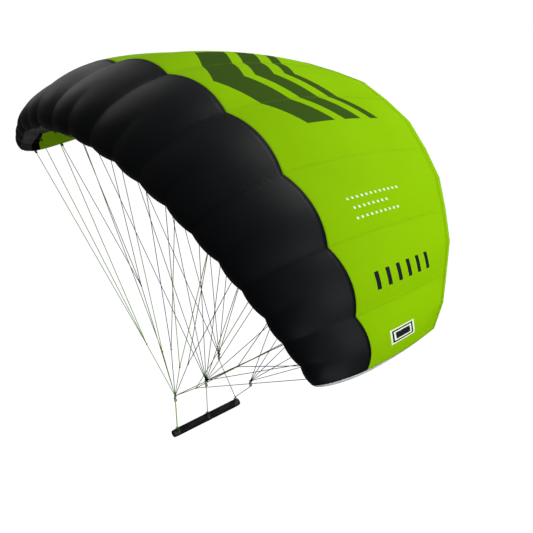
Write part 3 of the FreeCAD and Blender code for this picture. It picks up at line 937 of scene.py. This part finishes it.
def makeStitches():
    tree = makeStitchTree()
    dark = newThread("darkThread", stitch["darkColour"])
    green = newThread("greenThread", stitch["greenColour"])
    beside = stitch["borderBeside"]
    steps = stitch["hemSteps"]
    hemLines = [[(canopy["cells"] * step / steps, turn) for step in range(steps + 1)]
                for turn in (stitch["hemTurn"], -stitch["hemTurn"])]
    blackLines = seamLines(lambda n: lipTurn + stitch["lipGap"], lambda n: borderTurn(n) - stitch["lapGap"])
    plans = [
        ("leadingEdgeStitches", dark, stitch["lapRaised"], "black_ripstop",
         blackLines + [borderLine(beside), borderLine(-beside)]),
        ("topStitches", green, stitch["raised"], "lime_ripstop",
         seamLines(lambda n: borderTurn(n) + stitch["borderGap"], lambda n: hemTurn - stitch["ends"])),
        ("bottomStitches", green, stitch["raised"], "lime_ripstop",
         seamLines(lambda n: stitch["ends"] - hemTurn, lambda n: intakeTurn - stitch["lipGap"])),
        ("hemStitches", green, stitch["hemRaised"], "hem_tape", hemLines),
    ]
    for name, material, raised, slot, lines in plans:
        mesh = stitchMesh(name, lines, tree, material, raised)
        newPiece(name, mesh, "canopy", None)
        print(name, len(mesh.polygons))


makeStitches()


tab = {"long": 0.014, "drop": 0.016, "thick": 0.0009, "half": 0.0012, "riseIn": 0.0004, "clear": 0.0002,
       "rows": (0.10, 0.32, 0.57, 0.82), "bendSteps": 8, "mapTurns": 60, "colour": (0.15, 0.31, 0.002, 1)}


# The mesh of one loop: webbing folded over at its lower end, with its two legs up to the rib.
def loopShape():
    outer = tab["half"] + tab["clear"]
    inner = outer - tab["thick"]
    bend = tab["drop"] - outer
    section = []
    for radius, order in ((outer, 1), (inner, -1)):
        turns = [math.pi * step / tab["bendSteps"] for step in range(tab["bendSteps"] + 1)][::order]
        arc = [(radius * math.cos(turn), -bend - radius * math.sin(turn)) for turn in turns]
        section += [(radius * order, 0.0)] + arc + [(-radius * order, 0.0)]
    half = tab["long"] / 2
    count = len(section)
    points = [(x, side, drop) for x in (-half, half) for side, drop in section]
    faces = [(now, (now + 1) % count, count + (now + 1) % count, count + now) for now in range(count)]
    faces += [tuple(range(count)), tuple(range(2 * count - 1, count - 1, -1))]
    mesh = meshOf("bridleLoop", points, faces)
    setMap(mesh, "layTurns", [(side * tab["mapTurns"], drop) for x, side, drop in points])
    faceOutward(mesh)
    return mesh


def webbingMaterial():
    material, tree, shader = newMaterial("webbing", 0.7, Sheen_Weight=0.2)
    weave = newNode(tree, "ShaderNodeTexWave", {"Vector": objectPlace(tree), "Scale": 260},
                    wave_type="BANDS", bands_direction="DIAGONAL").outputs[1]
    wear = useGroup(tree, wearGroup, Broad=30.0, Fine=400.0)
    shade = mixColour(tree, weave, (0.012, 0.013, 0.015, 1), tab["colour"])
    paint(tree, shader, tint(tree, shade, (0.2, 0.2, 0.2, 1), wear["Dust"], 0.2))
    bump(tree, shader, weave, 0.0003)
    return material


def loopFoot(number, place):
    rib = stations[number]
    return outline(rib, -math.sqrt(place), -tab["riseIn"])


def makeBridleLoops():
    helper = addObject("loopPattern", loopShape())
    spots = [(number, place) for number in range(canopy["cells"] + 1) for place in tab["rows"]]
    mesh = bpy.data.meshes.new("bridleLoops")
    mesh.from_pydata([tuple(loopFoot(*spot)) for spot in spots], [], [])
    setVectors(mesh, "liftWay", [stations[number].outward for number, place in spots])
    setVectors(mesh, "longWay", [chordWay] * len(spots))
    made = grown("bridleLoops", mesh, makeLoopTree(), {"Loop": helper, "Material": webbingMaterial()})
    bpy.data.objects.remove(helper)
    newPiece("bridleLoops", made, "canopy", None, ["bridle_loops"], smoothed=False)


makeBridleLoops()
print("stitches and bridle loops made")


bridle = {
    "lineThick": 0.0040, "frontKnot": 0.032, "fanKnot": 0.040, "rearKnot": 0.028, "leaderKnot": 0.011,
    "frontInner": (0.254, 0.081, 0.279), "frontOuter": (0.250, 0.233, 0.325),
    "secondInner": (0.313, 0.079, 0.294), "secondOuter": (0.380, 0.440, 0.090),
    "pivotBack": 0.265, "pivotDrop": 0.615, "slope": 6, "middleGap": 0.227, "rearGap": 0.443,
    "rearOut": 0.150, "leaderDrop": 0.227, "linkMean": 0.022, "linkWire": 0.005, "loopMean": 0.016,
    "loopWire": 0.004, "sink": 0.0015, "frontLeader": 0.006, "rearLeader": 0.004,
    "greenColour": (0.32, 0.72, 0.003, 1), "darkColour": (0.035, 0.052, 0.070, 1),
}
# Each tied knot: how wide it is drawn and how thick its line is.
ties = {
    "front": (0.018, 0.0042), "fan": (0.026, 0.0055), "fanCross": (0.020, 0.005), "rear": (0.020, 0.0046),
    "sub": (0.011, 0.0028), "hitch": (0.006, 0.0016), "leader": (0.012, 0.0042),
}


def belowArc(back, out, drop):
    return Vector((back, out, -drop)) - origin


slope = math.radians(bridle["slope"])
barWay = Vector((math.cos(slope), 0, -math.sin(slope)))
barUp = barWay.cross(across)
leaderWay = Vector((0, 0, -bridle["leaderDrop"]))
frontLink = belowArc(bridle["pivotBack"], 0, bridle["pivotDrop"])
middleLink = frontLink + barWay * bridle["middleGap"]
rearLink = frontLink + barWay * bridle["rearGap"]
wings = ((-1, "Left"), (1, "Right"))


def braidMaterial(name, colour):
    material, tree, shader = newMaterial(name, 0.6, Specular_IOR_Level=0.1)
    weave = useGroup(tree, braidGroup, Place=newNode(tree, "ShaderNodeUVMap").outputs[0])
    wear = useGroup(tree, wearGroup, Broad=5.0, Fine=300.0)
    dark = scaled(colour, 0.35)
    # Painted shade in the gaps between the strands: the line's colour darkened. The same dark colour also
    # marks real stains below.
    shade = tint(tree, colour, dark, weave["GapShade"], 0.6)
    paint(tree, shader, tint(tree, shade, dark, wear["Stain"], 0.2))
    bump(tree, shader, weave["Height"], 0.0003)
    return material


greenLine = braidMaterial("greenLine", bridle["greenColour"])
darkLine = braidMaterial("darkLine", bridle["darkColour"])


# A taut line: one spline with its braid.
def makeCord(name, start, end, thick, body, material, node):
    data = bpy.data.curves.new(name, "CURVE")
    data.dimensions = "3D"
    data.bevel_depth = thick / 2
    data.bevel_resolution = 2
    data.resolution_u = 2
    data.use_fill_caps = True
    spline = data.splines.new("NURBS")
    route = (start, start.lerp(end, 0.5), end)
    spline.points.add(len(route) - 1)
    for point, place in zip(spline.points, route):
        point.co = (*place, 1)
    spline.order_u = 3
    spline.use_endpoint_u = True
    data.materials.append(material)
    piece = addObject(name, data)
    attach(piece, body)
    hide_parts(node)


# A tube along a path, open or closed, with its map in metres along and turns round.
def tubeShape(path, radius, sides=8, closed=False):
    count = len(path)
    points = []
    lays = []
    length = 0.0
    side = None
    radii = radius if isinstance(radius, list) else [radius] * count
    for index, centre in enumerate(path):
        ahead = path[(index + 1) % count] if closed or index < count - 1 else centre
        back = path[index - 1] if closed or index > 0 else centre
        way = (ahead - back).normalized()
        if side is None:
            side = way.orthogonal().normalized()
        side = (side - way * side.dot(way)).normalized()
        other = way.cross(side)
        length += (centre - path[index - 1]).length if index else 0
        for turn in range(sides):
            angle = 2 * math.pi * turn / sides
            points.append(centre + (side * math.cos(angle) + other * math.sin(angle)) * radii[index])
            lays.append((length, turn / sides))
    faces = []
    for ring in range(count if closed else count - 1):
        for turn in range(sides):
            a = ring * sides + turn
            b = ring * sides + (turn + 1) % sides
            nextRing = (ring + 1) % count * sides
            faces.append((a, b, nextRing + (turn + 1) % sides, nextRing + turn))
    if not closed:
        faces.append(tuple(range(sides))[::-1])
        faces.append(tuple((count - 1) * sides + turn for turn in range(sides)))
    return points, faces, lays


def tubePiece(name, tubes, body, material, replaced=()):
    points = []
    faces = []
    lays = []
    for tubePoints, tubeFaces, tubeLays in tubes:
        first = len(points)
        points += tubePoints
        lays += tubeLays
        faces += [tuple(first + corner for corner in face) for face in tubeFaces]
    mesh = meshOf(name, points, faces)
    setMap(mesh, "UVMap", lays)
    faceOutward(mesh)
    return newPiece(name, mesh, body, material, replaced)


# An overhand knot pulled tight: a three-lobed path round the line's own way.
def knotTube(centre, tie, way=Vector((0, 0, 1)), steps=48):
    width, thick = ties[tie]
    side = way.orthogonal().normalized()
    other = way.cross(side)
    scale = (width / 2 - thick / 2) / 3.0
    path = []
    for step in range(steps):
        turn = 2 * math.pi * step / steps
        x = math.sin(turn) + 2 * math.sin(2 * turn)
        y = math.cos(turn) - 2 * math.cos(2 * turn)
        z = -1.4 * math.sin(3 * turn)
        path.append(centre + (side * x + other * y + way * z) * scale)
    return tubeShape(path, thick / 2, closed=True)


# Thread wound round a line's end: a short ribbed sleeve.
def whippingTube(start, way, radius, turns=7, thread=0.0009):
    path = []
    radii = []
    for step in range(turns * 4 + 1):
        path.append(start + way * (step * thread / 4))
        radii.append(radius + thread * (0.25 + 0.35 * abs(math.sin(math.pi * step / 4))))
    return tubeShape(path, radii, sides=14)


def aboveLink(link, out, size):
    rise = bridle["linkMean"] + bridle["linkWire"] / 2 + size / 2 - bridle["sink"]
    return link + Vector((0, out, rise))


# The strand that ties a gathering knot round its ring's wire.
def shankTube(knot, link, out):
    thick = bridle["lineThick"]
    room = (bridle["linkWire"] + thick) / 2
    low = link + Vector((0, out, bridle["linkMean"] - room))
    wide = room * 1.25
    high = (knot - low).length / 2
    turns = [2 * math.pi * step / 24 for step in range(24)]
    path = [(knot + low) / 2 + Vector((math.sin(turn) * wide, 0, math.cos(turn) * high)) for turn in turns]
    return tubeShape(path, thick / 2, closed=True)


def lineStart(number, place):
    return loopFoot(number, place) - stations[number].outward * (tab["drop"] + tab["riseIn"])


def subKnot(name, side):
    back, out, drop = bridle[name]
    return belowArc(back, side * out, drop)


def makeBridle():
    thick = bridle["lineThick"]
    frontKnot = aboveLink(frontLink, 0, bridle["frontKnot"])
    fanKnot = aboveLink(middleLink, 0, bridle["fanKnot"])
    knots = [knotTube(frontKnot, "front"), knotTube(fanKnot, "fan"),
             knotTube(fanKnot, "fanCross", Vector((1, 0, 0))), shankTube(frontKnot, frontLink, 0),
             shankTube(fanKnot, middleLink, 0)]
    hitches = []
    gathered = {"third": [], "rear": []}
    cell = canopy["cells"]
    for side, wing in wings:
        rearKnot = aboveLink(rearLink, side * bridle["rearOut"], bridle["rearKnot"])
        knots.append(knotTube(rearKnot, "rear"))
        knots.append(shankTube(rearKnot, rearLink, side * bridle["rearOut"]))
        mains = (("front", greenLine, "green_line"), ("second", darkLine, "dark_line"))
        for row, material, slot in mains:
            for ring in ("Inner", "Outer"):
                centre = subKnot(row + ring, side)
                knots.append(knotTube(centre, "sub", (frontKnot - centre).normalized()))
                makeCord(f"{row}Main{ring}{wing}", centre, frontKnot, thick, "canopy", material,
                         f"{row}_main_lines")
        for step in range(cell // 2 + 1):
            number = step if side < 0 else cell - step
            ring = "Outer" if step < 3 else "Inner"
            ends = {"front": subKnot("front" + ring, side), "second": subKnot("second" + ring, side),
                    "third": fanKnot, "rear": rearKnot}
            for place, (row, knot) in zip(tab["rows"], ends.items()):
                start = lineStart(number, place)
                hitches.append(knotTube(start + stations[number].outward * 0.001, "hitch",
                                        (knot - start).normalized(), 24))
                if row in gathered:
                    gathered[row].append(tubeShape([start, knot], thick / 2))
            for place, (row, material, slot) in zip(tab["rows"], mains):
                makeCord(f"{row}Line{number}", lineStart(number, place), ends[row], thick, "canopy", material,
                         f"{row}_row_lines")
    for row, tubes in gathered.items():
        tubePiece(f"{row}RowLines", tubes, "canopy", darkLine, [f"{row}_row_lines"])
    tubePiece("bridleKnots", knots, "canopy", darkLine, ["bridle_knots"])
    tubePiece("loopHitches", hitches, "canopy", darkLine)


# A spliced loop: round where it passes its ring, then drawn in to the line.
def loopTube(link, way):
    radius = bridle["loopMean"] / 2
    path = []
    for step in range(36):
        turn = 2 * math.pi * step / 36
        x = math.cos(turn)
        squeeze = 1 - 0.35 * max(0.0, x)
        path.append(link + way * (radius * x) + way.cross(across) * (radius * math.sin(turn) * squeeze))
    return tubeShape(path, bridle["loopWire"] / 2, closed=True)


def makeLeaders():
    reach = bridle["loopMean"] / 2 + bridle["loopWire"] / 2 - bridle["sink"]
    down = leaderWay.normalized()
    for name, link, thick, material, slot in (
            ("front", frontLink, bridle["frontLeader"], greenLine, "green_line"),
            ("middle", middleLink, bridle["rearLeader"], darkLine, "dark_line")):
        eye = link + leaderWay
        body = f"{name}_leader"
        start = link + down * reach
        end = eye - down * reach
        loops = [loopTube(link, down), loopTube(eye, -down),
                 whippingTube(start, down, thick / 2), whippingTube(end, -down, thick / 2)]
        loops = tubePiece(f"{name}LeaderLoops", loops, body, material, [f"{name}_leader_loops"])
        makeCord(f"{name}Leader", start, end, thick, body, material, body)
    eye = rearLink + leaderWay
    meet = eye + Vector((0, 0, reach + bridle["leaderKnot"] / 2))
    thick = bridle["rearLeader"]
    loops = [loopTube(eye, -down)]
    for side, wing in wings:
        link = rearLink + across * (side * bridle["rearOut"])
        start = link + down * reach
        loops.append(loopTube(link, down))
        loops.append(whippingTube(start, (meet - start).normalized(), thick / 2))
        makeCord(f"rearLeader{wing}", start, meet, thick, "rear_leaders", darkLine, "rear_leaders")
    tubePiece("rearLeaderLoops", loops, "rear_leaders", darkLine, ["rear_leader_loops"])
    tubePiece("rearLeaderKnot", [knotTube(meet, "leader")], "rear_leaders", darkLine)


makeBridle()
makeLeaders()
print("bridle and leaders made")


bar = {
    "over": 0.027, "gripRadius": 0.0235, "gripRound": 0.0015, "boreRadius": 0.0126,
    "capLong": 0.040, "capRadius": 0.0235, "capBore": 0.0127, "capFloor": 0.014,
    "noseRadius": 0.022, "noseLong": 0.018, "noseRound": 0.004,
    "collarLong": 0.016, "collarWall": 0.0012, "collarClear": 0.0001, "tubeOuter": 0.025,
    "eyeClear": 0.0005, "grooveDeep": 0.0009, "grooveWide": 0.003, "sides": 56,
    "foot": ((0.0, 0.0), (0.0, 0.0085), (0.0012, 0.0085), (0.002, 0.0075), (0.0024, 0.0)),   # height, radius
    "footSides": 28,
    "footSinks": (0.0006, -0.0019, 0.0006),   # how deep each foot sits; the middle one is on the collar
    "foamColour": (0.0035, 0.0038, 0.0042, 1), "plasticColour": (0.005, 0.0054, 0.006, 1),
    "steelColour": (0.055, 0.06, 0.066, 1), "alloyColour": (0.5, 0.5, 0.52, 1),
}
barLong = bridle["rearGap"] + 2 * bar["over"]
eyeFoot = bar["gripRadius"] - bar["tubeOuter"] / 2 - bar["eyeClear"]
eyeRise = bridle["linkMean"] + bridle["linkWire"] / 2 - eyeFoot
eyes = [link + leaderWay for link in (frontLink, middleLink, rearLink)]
barFront = eyes[0] - barUp * (eyeRise + bar["gripRadius"]) - barWay * bar["over"]


# A turned piece about an axis: its section is a closed list of distances and radii.
def turned(name, start, way, section, material, slot, replaced=(), sides=bar["sides"]):
    side = across if abs(way.dot(across)) < 0.5 else barWay
    other = way.cross(side)
    points = []
    lays = []
    for distance, radius in section:
        for turn in range(sides):
            angle = 2 * math.pi * turn / sides
            spoke = side * math.cos(angle) + other * math.sin(angle)
            points.append(start + way * distance + spoke * radius)
            lays.append((distance, angle * bar["gripRadius"]))
    faces = []
    for ring in range(len(section)):
        low = ring * sides
        high = (ring + 1) % len(section) * sides
        for turn in range(sides):
            after = (turn + 1) % sides
            faces.append((low + turn, low + after, high + after, high + turn))
    mesh = meshOf(name, points, faces)
    setMap(mesh, "turnLay", lays)
    faceOutward(mesh, joinWithin=0.00001)
    newPiece(name, mesh, "bar", material, replaced)


def groove(middle, radius):
    half = bar["grooveWide"] / 2
    deep = bar["grooveDeep"]
    return [(middle - half, radius), (middle - half * 0.5, radius - deep * 0.85), (middle, radius - deep),
            (middle + half * 0.5, radius - deep * 0.85), (middle + half, radius)]


def foamMaterial():
    material, tree, shader = newMaterial("gripFoam", 0.62, Specular_IOR_Level=0.15)
    cells = newNode(tree, "ShaderNodeTexVoronoi", {"Vector": objectPlace(tree), "Scale": 420})
    wear = useGroup(tree, wearGroup, Broad=22.0, Fine=260.0)
    shade = tint(tree, bar["foamColour"], (0.006, 0.006, 0.007, 1), wear["Stain"], 0.5)
    paint(tree, shader, tint(tree, shade, (0.10, 0.10, 0.10, 1), wear["Dust"], 0.04))
    plug(tree, calc(tree, "MULTIPLY_ADD", wear["Stain"], -0.12, 0.66), shader.inputs["Roughness"])
    bump(tree, shader, cells.outputs["Distance"], 0.0006, 0.7)
    return material


def plasticMaterial():
    material, tree, shader = newMaterial("barPlastic", 0.38)
    wear = useGroup(tree, wearGroup, Broad=30.0, Fine=500.0)
    paint(tree, shader, tint(tree, bar["plasticColour"], (0.12, 0.12, 0.12, 1), wear["Dust"], 0.15))
    plug(tree, calc(tree, "MULTIPLY_ADD", wear["Stain"], 0.15, 0.36), shader.inputs["Roughness"])
    bump(tree, shader, noise(tree, objectPlace(tree), 900, 2.0), 0.0002, 0.5)
    return material


def metalMaterial(name, colour, roughness, stretch):
    material, tree, shader = newMaterial(name, roughness, Metallic=1.0)
    drawn = newNode(tree, "ShaderNodeMapping", {"Vector": objectPlace(tree), "Scale": stretch})
    brushed = noise(tree, drawn.outputs[0], 60, 4.0)
    wear = useGroup(tree, wearGroup, Broad=40.0, Fine=600.0)
    paint(tree, shader, tint(tree, colour, scaled(colour, 0.55), wear["Stain"], 0.6))
    plug(tree, calc(tree, "MULTIPLY_ADD", brushed, 0.25, roughness - 0.1), shader.inputs["Roughness"])
    bump(tree, shader, brushed, 0.0001, 0.4)
    return material


def paintNode(node, material):
    mesh = nodes[node].data
    mesh.materials.clear()
    mesh.materials.append(material)


def gripSection():
    bore = bar["boreRadius"]
    radius = bar["gripRadius"]
    soft = bar["gripRound"]
    middle = bar["over"] + bridle["middleGap"]
    first = bar["capLong"]
    last = barLong - bar["capLong"]
    section = [(first, bore), (first, radius - soft), (first + soft * 0.4, radius - soft * 0.4),
               (first + soft, radius)]
    for mark in (first + 0.008, first + 0.014, middle - 0.022, middle - 0.016, middle + 0.016, middle + 0.022,
                 last - 0.014, last - 0.008):
        section += groove(mark, radius)
    section += [(last - soft, radius), (last - soft * 0.4, radius - soft * 0.4), (last, radius - soft),
                (last, bore)]
    return section


def capSection():
    nose = bar["noseRadius"]
    soft = bar["noseRound"]
    wide = bar["capRadius"]
    section = [(0.0, 0.0), (0.0012, 0.0), (0.0012, 0.006), (0.0, 0.0075), (0.0, nose - soft)]
    turns = [math.pi / 8 * step for step in (1, 2, 3, 4)]
    section += [(soft - soft * math.cos(turn), nose - soft + soft * math.sin(turn)) for turn in turns]
    section += groove(0.011, nose)
    step = bar["noseLong"]
    section += [(step - 0.0005, nose), (step, wide - 0.0004), (step + 0.0006, wide)]
    section += groove(0.028, wide)
    end = bar["capLong"]
    section += [(end - 0.0006, wide), (end, wide - 0.0006), (end, bar["capBore"]),
                (bar["capFloor"], bar["capBore"]), (bar["capFloor"], 0.0)]
    return section


# The collar is the same both ways from its middle, with a shallow channel round it.
def collarSection():
    wide = bar["collarLong"] / 2
    inner = bar["gripRadius"] + bar["collarClear"]
    outer = bar["gripRadius"] + bar["collarWall"]
    half = [(wide, inner), (wide, outer - 0.0008), (wide - 0.0008, outer), (0.003, outer),
            (0.0022, outer - 0.0007)]
    return [(-distance, radius) for distance, radius in half] + half[::-1]


def makeBar():
    foam = foamMaterial()
    plastic = plasticMaterial()
    far = barFront + barWay * barLong
    turned("barGrip", barFront, barWay, gripSection(), foam, "grip_foam", ["bar_grip"])
    turned("frontCap", barFront, barWay, capSection(), plastic, "bar_plastic", ["bar_end_caps"])
    turned("rearCap", far, -barWay, capSection(), plastic, "bar_plastic", ["bar_end_caps"])
    turned("barCollar", barFront + barWay * (bar["over"] + bridle["middleGap"]), barWay, collarSection(),
           plastic, "bar_plastic", ["bar_collar"])
    for index, (eye, sink) in enumerate(zip(eyes, bar["footSinks"])):
        turned(f"eyeFoot{index + 1}", eye - barUp * (eyeRise + sink), barUp, bar["foot"], plastic,
               "bar_plastic", sides=bar["footSides"])
    paintNode("bar_eyes", plastic)
    paintNode("bar_tube", metalMaterial("barAlloy", bar["alloyColour"], 0.36, (14, 1, 1)))
    paintNode("bridle_rings", metalMaterial("ringSteel", bar["steelColour"], 0.34, (1, 1, 14)))


makeBar()
print("bar made")
